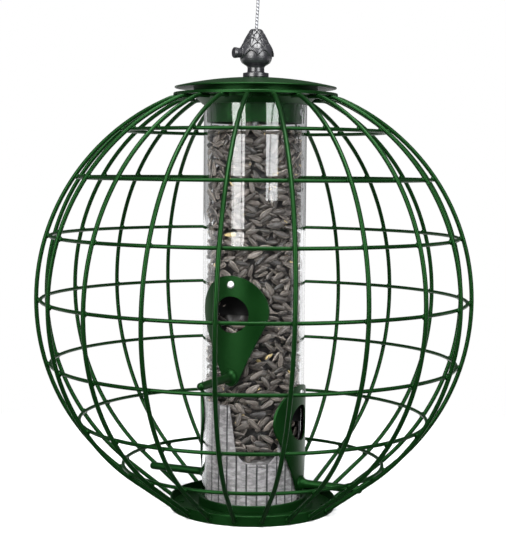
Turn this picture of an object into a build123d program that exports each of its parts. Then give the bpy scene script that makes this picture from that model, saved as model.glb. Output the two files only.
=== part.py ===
from build123d import *
from math import asin, cos, degrees, pi, radians, sin, sqrt, tan
import os

os.makedirs("parts", exist_ok=True)

# Caged seed feeder: a clear seed tube with four ports hangs inside a globe of welded wire.
# Millimetres, +Z up. The origin is the centre of the base pan's underside. Azimuths are in
# degrees from -Y towards +X, so the upper ports face -Y and +Y and the lower ones +X and -X.

# Globe cage
globe_radius = 151.0  # centre line of the uprights, about the globe's centre
upright_wire = 3.0  # diameter
upright_count = 20
upright_turn = -1.7  # azimuth of the first upright at the globe's middle
upright_twist = 1.2  # lean of each upright to the side, degrees
upright_bend = 12.0  # centre-line radius of the bend under the top ring
upright_inset = 1.6  # start of that bend inside the ring's edge
upright_end_gap = 5.8  # from the ring's bore to the wire's end
upright_leave = 53.9  # latitude below the middle where the wire runs on straight, degrees
upright_weld = 3.2  # where its centre line meets the pan's wall, above the underside
hoop_wire = 2.5  # diameter
hoops_each_way = 3  # hoops above and below the one at the globe's middle
hoop_pitch = 17.3  # latitude from one hoop to the next, degrees

# Top ring and base pan
ring_radius = 57.0
ring_thickness = 2.0
ring_bore_gap = 0.2  # between the ring's hole and the collar's neck
pan_radius = 58.4
pan_height = 6.9
pan_sheet = 1.0
pan_rise = 1.6  # pressed-up middle of the pan, clear of the screw heads
pan_rise_gap = 3.4  # between the base cup and the raised middle's edge
drain_hole = 4.0  # diameter
drain_count = 8

# Seed tube and base cup
tube_radius = 35.8
tube_wall = 1.8
tube_top_drop = 2.2  # from the top ring's underside to the tube's top
cup_floor = 1.5
cup_wall = 2.1
cup_height = 5.9
cup_gap = 0.2  # round the tube's foot

# Collar
neck_step = 5.6  # the neck through the top ring is this much larger in radius than the tube
collar_lip = 1.6  # the flange that rests on the ring stands this far out beyond the neck
collar_flange = 5.5  # flange height
neck_drop = 1.5  # straight neck below the ring's underside
skirt_drop = 5.8  # from the ring's underside to the skirt's lower edge
skirt_lip = 0.9
skirt_swell = 3.1  # of the skirt's curve half way down, outside the tube's radius
skirt_middle_drop = 3.6
spigot_depth = 16.4  # reach of the spigot inside the tube
spigot_gap = 0.2
spigot_wall = 1.6
groove_gap = 0.15

# Feeding ports
plate_cup_gap = 5.2  # from the base cup up to the lower plates' tails
port_step = 77.0  # from the lower holes up to the upper ones
port_hole = 25.0  # diameter
tube_hole_margin = 0.5  # the tube's hole is this much larger in radius
plate_sheet = 1.2
plate_gap = 0.15  # between the tube and the plate
plate_head = 24.3  # radius of the teardrop's head
plate_head_rise = 2.2  # head centre above the hole centre
plate_tail = 6.0  # radius of the teardrop's tail
plate_tail_drop = 43.0  # tail centre below the hole centre
rivet_inset = 6.0  # rivet below the plate's top edge
perch_rise = 0.1  # perch axis above the tail's centre
hood_margin = 3.0  # the domed hood behind the hole is this much larger in radius
hood_sheet = 1.0
hood_gap = 0.15  # between the tube and the hood
hood_skirt = 2.0  # the dome's edge below the hole centre
hood_tab_width = 12.0
hood_tab_end = 4.5  # above the rivet

# Perches and their screws, port rivets
perch_rod = 5.5  # diameter
perch_length = 45.9  # beyond the plate; the lower perches end between two uprights
perch_land = 1.0  # plain edge of the flared foot
perch_foot = 5.3  # radius of the flared foot
perch_flare = 6.5  # length of the flare
perch_gap = 0.1  # between the plate and the foot
screw_shank = 3.0  # diameter
screw_clearance = 0.1
screw_bite = 12.0  # length inside the perch
screw_head = 2.9  # radius
screw_head_depth = 1.6
screw_crown = 2.0  # radius of the flat on the head
rivet_shank = 3.2  # diameter
rivet_head = 2.6  # radius
rivet_dome = 1.2
rivet_dimple = 0.8  # radius of the mandrel's dimple
rivet_bulb = 2.3  # radius of the set tail
rivet_tail = 2.2  # length of the set tail
seat_gap = 0.2  # flat heads and tails stand this far off round walls

# Seed deflector and seed
deflector_gap = 0.3
deflector_wall = 1.5
deflector_height = 72.4  # top edge above the cup's floor
deflector_ridge = 41.4  # ridge of its floor above the cup's floor
deflector_slope = 15.0  # degrees down from the ridge to either side
valley_azimuth = 30.0  # the cut-away sides face this way and the opposite way
valley_land = 3.0  # degrees left between the cut-away and the cuts for the lower hoods
valley_flare = 3.7  # degrees wider to each side at the top edge than beside those hoods
valley_pinch = 4.8  # degrees narrower to each side at the waist than beside them
valley_waist_drop = 33.0  # waist below the top edge
valley_foot = 10.5  # half width at the lowest edge, degrees
valley_depth = 42.0  # lowest edge below the top edge
rib_count = 30
rib_groove = 0.5  # depth and half width of the grooves between ribs
seed_gap = 0.3
seed_drop = 21.5  # from the top ring's underside to the level of the seed

# Lid
lid_radius = 55.7
lid_dome = 240.0  # radius of the outer face
lid_sheet = 1.2
lid_gap = 0.3  # between the collar and the lid
lid_bore = 3.4  # diameter of the cable hole

# Finial and thumb screw
finial_height = 32.8
finial_gap = 0.3  # between the lid and the finial's foot
finial_foot = 8.9  # radius
finial_foot_height = 3.1
finial_neck = 5.9  # radius
finial_neck_height = 6.3
finial_bowl = 10.1  # radius low on the smooth bowl
finial_bowl_height = 9.9
finial_belly = 11.4  # radius
finial_belly_height = 14.8
finial_crown = 9.2  # radius half way up the scaled cone
finial_crown_height = 21.6
finial_shoulder = 4.9  # radius where the cone rounds over
finial_shoulder_height = 29.5
finial_tip = 2.4  # radius of the blunt tip
finial_tip_drop = 0.5
finial_sink = 1.0  # depth of the blank under the foot, before it is cut to the lid
scale_rows = 5
scale_columns = 8
scale_turn = 32.5  # azimuth of a scale in the lowest row
scale_low = 0.47  # place of the lowest row, as a share of the way up the outline
scale_step = 0.135  # to the next row, as a share of that way
scale_shrink = 0.85  # each step from row to row is this much of the one below
scale_width = 0.9  # share of the room that a scale has in its row
scale_length = 0.92  # share of that room
scale_tilt = 2.0  # degrees that a scale's tip stands away from the cone
scale_rise = 0.5
scale_depth = 2.0  # of the scale inside the cone
finial_bore = 3.0  # diameter of the cable bore
thumb_azimuth = -40.0
thumb_height = 16.1  # screw axis above the finial's foot
thumb_shank = 4.0  # diameter
thumb_clearance = 0.05
thumb_boss = 4.0  # radius of the boss round the screw hole
thumb_boss_proud = 0.5  # the boss stands out beyond the belly
thumb_knob = 3.7  # radius
thumb_knob_gap = 0.3  # between the boss and the knob
thumb_knob_length = 4.8
thumb_taper = 0.5  # the knob is this much narrower beside the boss
thumb_rim = 1.6  # length of its plain rim
thumb_edge = 0.5  # chamfer
thumb_tip_gap = 0.3  # between the screw's tip and the cable when it is let go

# Hanging cable
cable_size = 2.0  # diameter
bar_radius = 2.5
bar_drop = 11.5  # from the top ring's underside to the bar
bar_end_gap = 0.2
cable_hole_gap = 0.1  # round the cable in the bar
stop_radius = 2.5
stop_length = 6.0
cable_free = 41.7  # from the finial's tip to the crimped ferrule
ferrule_length = 10.0
ferrule_wall = 0.9
loop_lead = 9.0  # from the ferrule to the first corner of the loop's route
loop_half_width = 12.6
loop_height = 35.0
loop_low_width = 0.95  # corners of the loop's route, as shares of its half width and height
loop_low_height = 0.43
loop_high_height = 0.76
loop_top_width = 0.48

# Base screws
base_screw_count = 4
base_screw_shank = 3.2  # diameter
base_screw_head = 3.4  # radius
base_screw_head_depth = 1.3
base_screw_length = 6.0
base_boss = 4.5  # radius of the cup's screw bosses
base_boss_height = 6.5
base_boss_gap = 3.4  # between the bosses and the seed deflector

# Worked-out radii and heights
leave_turn = radians(upright_leave)
leave_out = globe_radius * cos(leave_turn)
globe_height = (
    upright_weld + globe_radius * sin(leave_turn) + (leave_out - pan_radius) / tan(leave_turn)
)
bend_radius = globe_radius - upright_bend
bend_out = ring_radius - upright_inset
bend_height = sqrt(bend_radius**2 - bend_out**2)
ring_height = globe_height + bend_height + upright_bend + upright_wire / 2
ring_top = ring_height + ring_thickness
tube_bore = tube_radius - tube_wall
tube_top = ring_height - tube_top_drop
cup_base = pan_sheet + pan_rise
tube_foot = cup_base + cup_floor
cup_bore = tube_radius + cup_gap
cup_radius = cup_bore + cup_wall
pan_rise_radius = cup_radius + pan_rise_gap
drain_radius = (pan_rise_radius + pan_rise + pan_radius - pan_sheet) / 2
neck_radius = tube_radius + neck_step
collar_radius = neck_radius + collar_lip
ring_bore = neck_radius + ring_bore_gap
collar_top = ring_top + collar_flange
spigot_radius = tube_bore - spigot_gap
spigot_bore = spigot_radius - spigot_wall
spigot_foot = tube_top - spigot_depth
skirt_bore = tube_radius + groove_gap
plate_inner = tube_radius + plate_gap
plate_outer = plate_inner + plate_sheet
lower_port_height = cup_base + cup_height + plate_cup_gap + plate_tail + plate_tail_drop
upper_port_height = lower_port_height + port_step
rivet_rise = plate_head_rise + plate_head - rivet_inset
perch_drop = plate_tail_drop - perch_rise
perch_reach = plate_outer + perch_length
hood_radius = port_hole / 2 + hood_margin
hood_tab_top = rivet_rise + hood_tab_end
hood_outer = tube_bore - hood_gap
deflector_radius = tube_bore - deflector_gap
deflector_bore = deflector_radius - deflector_wall
base_screw_radius = deflector_bore - base_boss_gap - base_boss
seed_top = ring_height - seed_drop
bar_height = ring_height - bar_drop
lid_centre = collar_top + lid_gap - sqrt((lid_dome - lid_sheet) ** 2 - collar_radius**2)
lid_top = lid_centre + lid_dome
finial_base = lid_top + finial_gap
finial_top = finial_base + finial_height
thumb_boss_reach = finial_belly + thumb_boss_proud
thumb_knob_start = thumb_boss_reach + thumb_knob_gap
thumb_knob_end = thumb_knob_start + thumb_knob_length
ferrule_height = finial_top + cable_free
cable_radius = cable_size / 2
strand_pitch = cable_size + 0.1
full_height = 2 * finial_top  # taller than everything, for cuts that go all the way up

ports = {
    "upper_front": (0.0, upper_port_height),
    "lower_right": (90.0, lower_port_height),
    "upper_back": (180.0, upper_port_height),
    "lower_left": (270.0, lower_port_height),
}


def outward(azimuth):
    turn = radians(azimuth)
    return Vector(sin(turn), -cos(turn), 0)


def sideways(azimuth):
    turn = radians(azimuth)
    return Vector(cos(turn), sin(turn), 0)


def radial_plane(azimuth, height=0.0, lean=0.0):
    # plane through the axis: local X points outwards and local Y up, leaning to the side
    lean_turn = radians(lean)
    across = Vector(0, 0, sin(lean_turn)) - sideways(azimuth) * cos(lean_turn)
    return Plane(origin=(0, 0, height), x_dir=outward(azimuth), z_dir=across)


def facing_plane(azimuth, height=0.0):
    # upright plane on the axis that faces the azimuth: local X to the side and local Y up
    return Plane(origin=(0, 0, height), x_dir=sideways(azimuth), z_dir=outward(azimuth))


def radial_axis(azimuth, height):
    return Axis(origin=(0, 0, height), direction=outward(azimuth))


def save(piece, name):
    piece.label = name
    export_step(piece, f"parts/{name}.step")


def curved_sheet(outline, azimuth, bore, sheet):
    # a flat outline on the axis, pushed outwards and kept where it meets a round sheet
    with BuildPart() as piece:
        extrude(outline, amount=bore + 2 * sheet, dir=outward(azimuth))
        with BuildSketch(Plane.XY):
            Circle(bore + sheet)
            Circle(bore, mode=Mode.SUBTRACT)
        extrude(amount=full_height, mode=Mode.INTERSECT)
    return piece.part


# Uprights: from under the top ring, down the globe and straight on to the pan's wall
def upright(azimuth):
    lap_height = bend_height + upright_bend
    lap_end = ring_bore + upright_end_gap
    top_latitude = degrees(asin(bend_height / bend_radius))
    leave_height = -globe_radius * sin(leave_turn)
    inwards = leave_out - pan_radius + upright_wire
    downwards = inwards / tan(leave_turn)
    with BuildPart() as wire:
        with BuildLine(radial_plane(azimuth, globe_height, upright_twist)) as path:
            Line((lap_end, lap_height), (bend_out, lap_height))
            CenterArc((bend_out, bend_height), upright_bend, 90, top_latitude - 90)
            CenterArc((0, 0), globe_radius, top_latitude, -upright_leave - top_latitude)
            Line((leave_out, leave_height), (leave_out - inwards, leave_height - downwards))
        with BuildSketch(Plane(origin=path.line @ 0, z_dir=path.line % 0)):
            Circle(upright_wire / 2)
        sweep()
        with BuildSketch(Plane.XY.offset(-upright_wire)):
            Circle(pan_radius)
        extrude(amount=globe_height / 2, mode=Mode.SUBTRACT)
    return wire.part


for number in range(upright_count):
    azimuth = upright_turn + number * 360 / upright_count
    save(upright(azimuth), f"upright_{number + 1:02d}")


# Hoops: rings welded to the inner side of the uprights
def hoop(latitude):
    reach = globe_radius - (upright_wire + hoop_wire) / 2
    out = reach * cos(radians(latitude))
    up = reach * sin(radians(latitude))
    with BuildPart() as ring:
        with BuildSketch(radial_plane(0, globe_height)):
            with Locations((out, up)):
                Circle(hoop_wire / 2)
        revolve(axis=Axis.Z)
    return ring.part


for number in range(-hoops_each_way, hoops_each_way + 1):
    save(hoop(-number * hoop_pitch), f"hoop_{number + hoops_each_way + 1}")


with BuildPart() as top_ring:
    with BuildSketch(Plane.XY.offset(ring_height)):
        Circle(ring_radius)
        Circle(ring_bore, mode=Mode.SUBTRACT)
    extrude(amount=ring_thickness)
    fillet(top_ring.faces().sort_by(Axis.Z)[-1].outer_wire().edges(), ring_thickness / 3)
save(top_ring.part, "top_ring")


# Base pan: pressed tray with a raised middle, drain holes and holes for the base screws
with BuildPart() as base_pan:
    with BuildSketch(Plane.XZ):
        with BuildLine():
            Polyline(
                (0, cup_base),
                (pan_rise_radius, cup_base),
                (pan_rise_radius + pan_rise, pan_sheet),
                (pan_radius - pan_sheet, pan_sheet),
                (pan_radius - pan_sheet, pan_height),
                (pan_radius, pan_height),
                (pan_radius, 0),
                (pan_rise_radius + pan_rise - pan_sheet / 2, 0),
                (pan_rise_radius - pan_sheet / 2, pan_rise),
                (0, pan_rise),
                close=True,
            )
        make_face()
    revolve(axis=Axis.Z)
    rim = base_pan.edges().group_by(Axis.Z)[-1]
    fillet(rim, pan_sheet * 0.4)
    with BuildSketch(Plane.XY):
        with PolarLocations(drain_radius, drain_count, start_angle=180 / drain_count):
            Circle(drain_hole / 2)
        with PolarLocations(base_screw_radius, base_screw_count, start_angle=45):
            Circle(base_screw_shank / 2 + screw_clearance)
    extrude(amount=pan_height, mode=Mode.SUBTRACT)
save(base_pan.part, "base_pan")


# Base cup: holds the tube's foot, with bosses for the base screws
with BuildPart() as base_cup:
    with BuildSketch(Plane.XY.offset(cup_base)):
        Circle(cup_radius)
    extrude(amount=cup_height)
    with BuildSketch(Plane.XY.offset(tube_foot)):
        Circle(cup_bore)
    extrude(amount=cup_height, mode=Mode.SUBTRACT)
    rim = base_cup.faces().sort_by(Axis.Z)[-1].edges()
    fillet(rim, cup_wall / 4)
    with BuildSketch(Plane.XY.offset(cup_base)):
        with PolarLocations(base_screw_radius, base_screw_count, start_angle=45):
            Circle(base_boss)
    extrude(amount=base_boss_height)
    with BuildSketch(Plane.XY.offset(cup_base)):
        with PolarLocations(base_screw_radius, base_screw_count, start_angle=45):
            Circle(base_screw_shank / 2 + screw_clearance)
    extrude(amount=base_screw_length, mode=Mode.SUBTRACT)
save(base_cup.part, "base_cup")


with BuildPart() as base_screws:
    with BuildSketch(Plane.XY.offset(pan_rise)):
        with PolarLocations(base_screw_radius, base_screw_count, start_angle=45):
            Circle(base_screw_head)
    extrude(amount=-base_screw_head_depth)
    chamfer(base_screws.faces().sort_by(Axis.Z)[:base_screw_count].edges(), base_screw_head_depth / 2)
    with BuildSketch(Plane.XY.offset(pan_rise)):
        with PolarLocations(base_screw_radius, base_screw_count, start_angle=45):
            Circle(base_screw_shank / 2)
    extrude(amount=base_screw_length)
save(base_screws.part, "base_screws")


# Seed tube: clear tube with a hole behind each port plate
with BuildPart() as seed_tube:
    with BuildSketch(Plane.XY.offset(tube_foot)):
        Circle(tube_radius)
        Circle(tube_bore, mode=Mode.SUBTRACT)
    extrude(amount=tube_top - tube_foot)
    for azimuth, height in ports.values():
        with BuildSketch(facing_plane(azimuth, height)):
            Circle(port_hole / 2 + tube_hole_margin)
            with Locations((0, rivet_rise)):
                Circle(rivet_shank / 2 + screw_clearance)
            with Locations((0, -perch_drop)):
                Circle(screw_shank / 2 + screw_clearance)
        extrude(amount=tube_radius + tube_wall, mode=Mode.SUBTRACT)
save(seed_tube.part, "seed_tube")


# Collar: its flange rests on the top ring, its neck passes through the ring, its skirt
# closes round the tube and its spigot holds the hanger bar inside the tube
with BuildPart() as collar:
    with BuildSketch(Plane.XZ):
        with BuildLine():
            Polyline(
                (spigot_bore, spigot_foot),
                (spigot_bore, collar_top),
                (collar_radius, collar_top),
                (collar_radius, ring_top),
                (neck_radius, ring_top),
                (neck_radius, ring_height - neck_drop),
            )
            ThreePointArc(
                (neck_radius, ring_height - neck_drop),
                (tube_radius + skirt_swell, ring_height - skirt_middle_drop),
                (skirt_bore + skirt_lip, ring_height - skirt_drop),
            )
            Polyline(
                (skirt_bore + skirt_lip, ring_height - skirt_drop),
                (skirt_bore, ring_height - skirt_drop),
                (skirt_bore, tube_top + groove_gap),
                (spigot_radius, tube_top + groove_gap),
                (spigot_radius, spigot_foot),
                (spigot_bore, spigot_foot),
            )
        make_face()
    revolve(axis=Axis.Z)
    mouth = collar.edges().filter_by(GeomType.CIRCLE).group_by(Axis.Z)[-1]
    fillet(mouth, collar_flange / 5)
    with BuildSketch(Plane.YZ.offset(-tube_radius)):
        with Locations((0, bar_height)):
            Circle(bar_radius + groove_gap)
    extrude(amount=2 * tube_radius, mode=Mode.SUBTRACT)
save(collar.part, "collar")


# Hanger bar: round bar across the spigot, with a cross hole for the cable
with BuildPart() as hanger_bar:
    with BuildSketch(Plane.YZ.offset(bar_end_gap - tube_bore)):
        with Locations((0, bar_height)):
            Circle(bar_radius)
    extrude(amount=2 * (tube_bore - bar_end_gap))
    with BuildSketch(Plane.XY):
        Circle(cable_radius + cable_hole_gap)
    extrude(amount=full_height, mode=Mode.SUBTRACT)
save(hanger_bar.part, "hanger_bar")


# Port plates: curved teardrops riveted to the tube, with a round hole
def port_plate(azimuth, height):
    with BuildSketch(facing_plane(azimuth, height)) as outline:
        with Locations((0, plate_head_rise)):
            Circle(plate_head)
        with Locations((0, -plate_tail_drop)):
            Circle(plate_tail)
        make_hull()
        Circle(port_hole / 2, mode=Mode.SUBTRACT)
        with Locations((0, rivet_rise)):
            Circle(rivet_shank / 2 + screw_clearance, mode=Mode.SUBTRACT)
        with Locations((0, -perch_drop)):
            Circle(screw_shank / 2 + screw_clearance, mode=Mode.SUBTRACT)
    return curved_sheet(outline.sketch, azimuth, plate_inner, plate_sheet)


# Port hoods: domes behind the holes that keep the seed back, open below, on a riveted tab
def port_hood(azimuth, height):
    tab_height = hood_tab_top - hood_radius + hood_sheet
    with BuildSketch(facing_plane(azimuth, height)) as outline:
        with Locations((0, hood_tab_top - tab_height / 2)):
            RectangleRounded(hood_tab_width, tab_height, hood_sheet)
        with Locations((0, rivet_rise)):
            Circle(rivet_shank / 2 + screw_clearance, mode=Mode.SUBTRACT)
    tab = curved_sheet(outline.sketch, azimuth, hood_outer - hood_sheet, hood_sheet)
    centre = outward(azimuth) * hood_outer + Vector(0, 0, height)
    with BuildPart() as hood:
        with Locations(centre):
            Sphere(hood_radius)
            Sphere(hood_radius - hood_sheet, mode=Mode.SUBTRACT)
        split(bisect_by=Plane.XY.offset(height - hood_skirt), keep=Keep.TOP)
        with BuildSketch(Plane.XY):
            Circle(hood_outer)
        extrude(amount=full_height, mode=Mode.INTERSECT)
        add(tab)
    return hood.part


# Perches: tapered foot on the plate's tail and a plain rod, screwed on from inside
def perch(azimuth, height):
    rod = perch_rod / 2
    with BuildPart() as rod_piece:
        with BuildSketch(radial_plane(azimuth, height)):
            with BuildLine():
                Line((tube_radius, 0), (tube_radius, perch_foot))
                Line((tube_radius, perch_foot), (plate_outer + perch_land, perch_foot))
                Spline(
                    (plate_outer + perch_land, perch_foot),
                    (plate_outer + perch_flare, rod),
                    tangents=[(0.5, -1), (1, 0)],
                )
                Line((plate_outer + perch_flare, rod), (perch_reach - rod, rod))
                ThreePointArc(
                    (perch_reach - rod, rod),
                    (perch_reach - rod + rod * sin(pi / 4), rod * sin(pi / 4)),
                    (perch_reach, 0),
                )
                Line((perch_reach, 0), (tube_radius, 0))
            make_face()
        revolve(axis=radial_axis(azimuth, height))
        with BuildSketch(Plane.XY):
            Circle(plate_outer + perch_gap)
        extrude(amount=full_height, mode=Mode.SUBTRACT)
        with BuildSketch(facing_plane(azimuth, height)):
            Circle(screw_shank / 2 + screw_clearance / 2)
        extrude(amount=plate_outer + screw_bite, mode=Mode.SUBTRACT)
    return rod_piece.part


for place, (azimuth, height) in ports.items():
    save(port_plate(azimuth, height), f"port_plate_{place}")
    save(port_hood(azimuth, height), f"port_hood_{place}")
    save(perch(azimuth, height - perch_drop), f"perch_{place}")


# Pop rivets: domed head with a dimple outside, set tail inside
with BuildPart() as port_rivets:
    for azimuth, height in ports.values():
        tail = hood_outer - hood_sheet - seat_gap
        with BuildSketch(radial_plane(azimuth, height + rivet_rise)):
            with BuildLine():
                Polyline(
                    (tail - rivet_tail, 0),
                    (tail - rivet_tail, rivet_bulb / 2),
                    (tail - rivet_tail / 2, rivet_bulb),
                    (tail, rivet_bulb),
                    (tail, rivet_shank / 2),
                    (plate_outer, rivet_shank / 2),
                    (plate_outer, rivet_head),
                )
                Spline(
                    (plate_outer, rivet_head),
                    (plate_outer + rivet_dome, rivet_dimple),
                    tangents=[(1, 0), (0, -1)],
                )
                Polyline(
                    (plate_outer + rivet_dome, rivet_dimple),
                    (plate_outer + rivet_dome / 3, rivet_dimple),
                    (plate_outer + rivet_dome / 3, 0),
                    (tail - rivet_tail, 0),
                )
            make_face()
        revolve(axis=radial_axis(azimuth, height + rivet_rise))
save(port_rivets.part, "port_rivets")


# Perch screws: head inside the tube, shank through tube and plate into the perch
with BuildPart() as perch_screws:
    for azimuth, height in ports.values():
        head = deflector_bore if height == lower_port_height else tube_bore
        with BuildSketch(radial_plane(azimuth, height - perch_drop)):
            with BuildLine():
                Polyline(
                    (head - screw_head_depth, 0),
                    (head - screw_head_depth, screw_crown),
                    (head - screw_head_depth / 2, screw_head),
                    (head - seat_gap, screw_head),
                    (head - seat_gap, screw_shank / 2),
                    (plate_outer + screw_bite - screw_clearance, screw_shank / 2),
                    (plate_outer + screw_bite - screw_clearance, 0),
                    close=True,
                )
            make_face()
        revolve(axis=radial_axis(azimuth, height - perch_drop))
save(perch_screws.part, "perch_screws")


# Seed deflector: ribbed liner with two cut-away sides and a ridged floor that sheds the
# seed towards them
deflector_top = tube_foot + deflector_height
ridge_height = tube_foot + deflector_ridge
eave_drop = deflector_radius * tan(radians(deflector_slope))
hood_turn = degrees(asin((hood_radius + deflector_gap) / deflector_radius))
valley_turn = ports["lower_right"][0] - valley_azimuth - hood_turn - valley_land
valley_sides = [
    deflector_radius * sin(radians(half_turn))
    for half_turn in (valley_turn + valley_flare, valley_turn - valley_pinch, valley_foot)
]

with BuildPart() as deflector_floor:
    with BuildSketch(facing_plane(valley_azimuth + 90, ridge_height).offset(-tube_radius)):
        with BuildLine():
            Polyline(
                (-deflector_radius, -eave_drop),
                (0, 0),
                (deflector_radius, -eave_drop),
                (deflector_radius, -eave_drop - deflector_wall),
                (0, -deflector_wall),
                (-deflector_radius, -eave_drop - deflector_wall),
                close=True,
            )
        make_face()
    extrude(amount=2 * tube_radius)
    with BuildSketch(Plane.XY):
        Circle(deflector_radius)
    extrude(amount=full_height, mode=Mode.INTERSECT)

with BuildPart() as seed_deflector:
    with BuildSketch(Plane.XY.offset(tube_foot)):
        Circle(deflector_radius)
        Circle(deflector_bore, mode=Mode.SUBTRACT)
    extrude(amount=deflector_height)
    with BuildSketch(facing_plane(valley_azimuth, deflector_top).offset(-tube_radius)) as valley:
        with BuildLine():
            Polyline(
                (-valley_sides[0], deflector_wall),
                (-valley_sides[0], 0),
                (-valley_sides[1], -valley_waist_drop),
                (-valley_sides[2], -valley_depth),
                (valley_sides[2], -valley_depth),
                (valley_sides[1], -valley_waist_drop),
                (valley_sides[0], 0),
                (valley_sides[0], deflector_wall),
                close=True,
            )
        make_face()
        fillet(valley.vertices().group_by(Axis.Y)[0], valley_sides[2] / 2)
    extrude(amount=2 * tube_radius, mode=Mode.SUBTRACT)
    add(deflector_floor.part)
    with BuildSketch(Plane.XY.offset(tube_foot)):
        with PolarLocations(deflector_radius, rib_count):
            Rectangle(2 * rib_groove, 2 * rib_groove, rotation=45)
    extrude(amount=deflector_height, mode=Mode.SUBTRACT)
    for azimuth, height in ports.values():
        with BuildSketch(facing_plane(azimuth, height)):
            Circle(hood_radius + deflector_gap)
            with Locations((0, hood_tab_top / 2)):
                Rectangle(hood_tab_width + 2 * deflector_gap, hood_tab_top + 2 * deflector_gap)
        extrude(amount=tube_radius, mode=Mode.SUBTRACT)
        with BuildSketch(facing_plane(azimuth, height - perch_drop)):
            Circle(screw_shank / 2 + screw_clearance)
        extrude(amount=tube_radius, mode=Mode.SUBTRACT)
save(seed_deflector.part, "seed_deflector")


# Seed: the heap inside the tube, clear of the hoods, rivets, screws and deflector
with BuildPart() as seed_fill:
    with BuildSketch(Plane.XY.offset(tube_foot)):
        Circle(tube_bore - seed_gap)
    extrude(amount=seed_top - tube_foot)
    with BuildSketch(Plane.XY.offset(tube_foot)):
        Circle(tube_bore)
        Circle(deflector_bore - seed_gap, mode=Mode.SUBTRACT)
    extrude(amount=deflector_height + seed_gap, mode=Mode.SUBTRACT)
    with BuildSketch(facing_plane(valley_azimuth + 90, ridge_height).offset(-tube_radius)):
        with BuildLine():
            Polyline(
                (-tube_radius, -tube_radius * tan(radians(deflector_slope)) + seed_gap),
                (0, seed_gap),
                (tube_radius, -tube_radius * tan(radians(deflector_slope)) + seed_gap),
                (tube_radius, -deflector_height),
                (-tube_radius, -deflector_height),
                close=True,
            )
        make_face()
    extrude(amount=2 * tube_radius, mode=Mode.SUBTRACT)
    for azimuth, height in ports.values():
        centre = outward(azimuth) * hood_outer + Vector(0, 0, height)
        with Locations(centre):
            Sphere(hood_radius + seed_gap, mode=Mode.SUBTRACT)
        with BuildSketch(facing_plane(azimuth, height).offset(tube_bore - 2 * rivet_tail)):
            Rectangle(hood_tab_width + 2 * seed_gap, 2 * (hood_tab_top + seed_gap))
            with Locations((0, -perch_drop)):
                Circle(screw_head + seed_gap)
        extrude(amount=tube_radius, mode=Mode.SUBTRACT)
save(seed_fill.part, "seed_fill")


# Lid: shallow spun dome with a rounded rim and a hole for the cable
with BuildPart() as lid:
    rim_turn = degrees(asin(lid_radius / lid_dome))
    hole_turn = degrees(asin(lid_bore / 2 / lid_dome))
    inner_dome = lid_dome - lid_sheet
    with BuildSketch(Plane.XZ):
        with BuildLine():
            upper = CenterArc((0, lid_centre), lid_dome, 90 - hole_turn, hole_turn - rim_turn)
            lower = CenterArc((0, lid_centre), inner_dome, 90 - hole_turn, hole_turn - rim_turn)
            Line(upper @ 0, lower @ 0)
            rim_edge = (upper @ 1 + lower @ 1) / 2 + (upper % 1) * (lid_sheet / 2)
            ThreePointArc(upper @ 1, rim_edge, lower @ 1)
        make_face()
    revolve(axis=Axis.Z)
save(lid.part, "lid")


# Finial: cast cone of overlapping scales over a smooth bowl, on a neck and foot, with a cable
# bore and a boss for the thumb screw
with BuildLine() as cone:
    Spline(
        (finial_neck, finial_base + finial_neck_height),
        (finial_bowl, finial_base + finial_bowl_height),
        (finial_belly, finial_base + finial_belly_height),
        (finial_crown, finial_base + finial_crown_height),
        (finial_shoulder, finial_base + finial_shoulder_height),
        (finial_tip, finial_top - finial_tip_drop),
        tangents=[(1, 0.6), (-1, 0.5)],
    )


def scale_plane(azimuth, share):
    # lies on the cone's outline, tipped so that the scale's lower point stands out
    place = cone.line @ share
    along = cone.line % share
    tilt = radians(scale_tilt)
    out = along.Y * cos(tilt) + along.X * sin(tilt)
    up = along.Y * sin(tilt) - along.X * cos(tilt)
    return Plane(
        origin=outward(azimuth) * place.X + Vector(0, 0, place.Y),
        x_dir=sideways(azimuth),
        z_dir=outward(azimuth) * out + Vector(0, 0, up),
    )


with BuildPart() as finial:
    with BuildSketch(Plane.XZ):
        with BuildLine():
            add(cone.line)
            Polyline(
                (finial_tip, finial_top - finial_tip_drop),
                (0, finial_top),
                (0, finial_base - finial_sink),
                (finial_foot, finial_base - finial_sink),
                (finial_foot, finial_base + finial_foot_height),
                (finial_neck, finial_base + finial_foot_height),
                (finial_neck, finial_base + finial_neck_height),
            )
        make_face()
    revolve(axis=Axis.Z)
    share = scale_low
    for row in range(scale_rows):
        room = 2 * pi * (cone.line @ share).X / scale_columns
        for column in range(scale_columns):
            azimuth = scale_turn + (column + row / 2) * 360 / scale_columns
            with BuildSketch(scale_plane(azimuth, share).offset(-scale_depth)):
                with BuildLine():
                    Polyline(
                        (0, -room * scale_length / 2),
                        (room * scale_width / 2, 0),
                        (0, room * scale_length / 2),
                        (-room * scale_width / 2, 0),
                        close=True,
                    )
                make_face()
            extrude(amount=scale_depth + scale_rise)
        share += scale_step * scale_shrink**row
    thumb_plane = facing_plane(thumb_azimuth, finial_base + thumb_height)
    with BuildSketch(thumb_plane):
        Circle(thumb_boss)
    extrude(amount=thumb_boss_reach)
    with BuildSketch(thumb_plane.offset(thumb_boss_reach)):
        Circle(thumb_boss + thumb_knob_gap)
    extrude(amount=finial_belly, mode=Mode.SUBTRACT)
    with Locations((0, 0, lid_centre)):
        Sphere(lid_dome + finial_gap, mode=Mode.SUBTRACT)
    with BuildSketch(Plane.XY):
        Circle(finial_bore / 2)
    extrude(amount=full_height, mode=Mode.SUBTRACT)
    with BuildSketch(thumb_plane):
        Circle(thumb_shank / 2 + thumb_clearance)
    extrude(amount=2 * finial_belly, mode=Mode.SUBTRACT)
save(finial.part, "finial")


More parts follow.
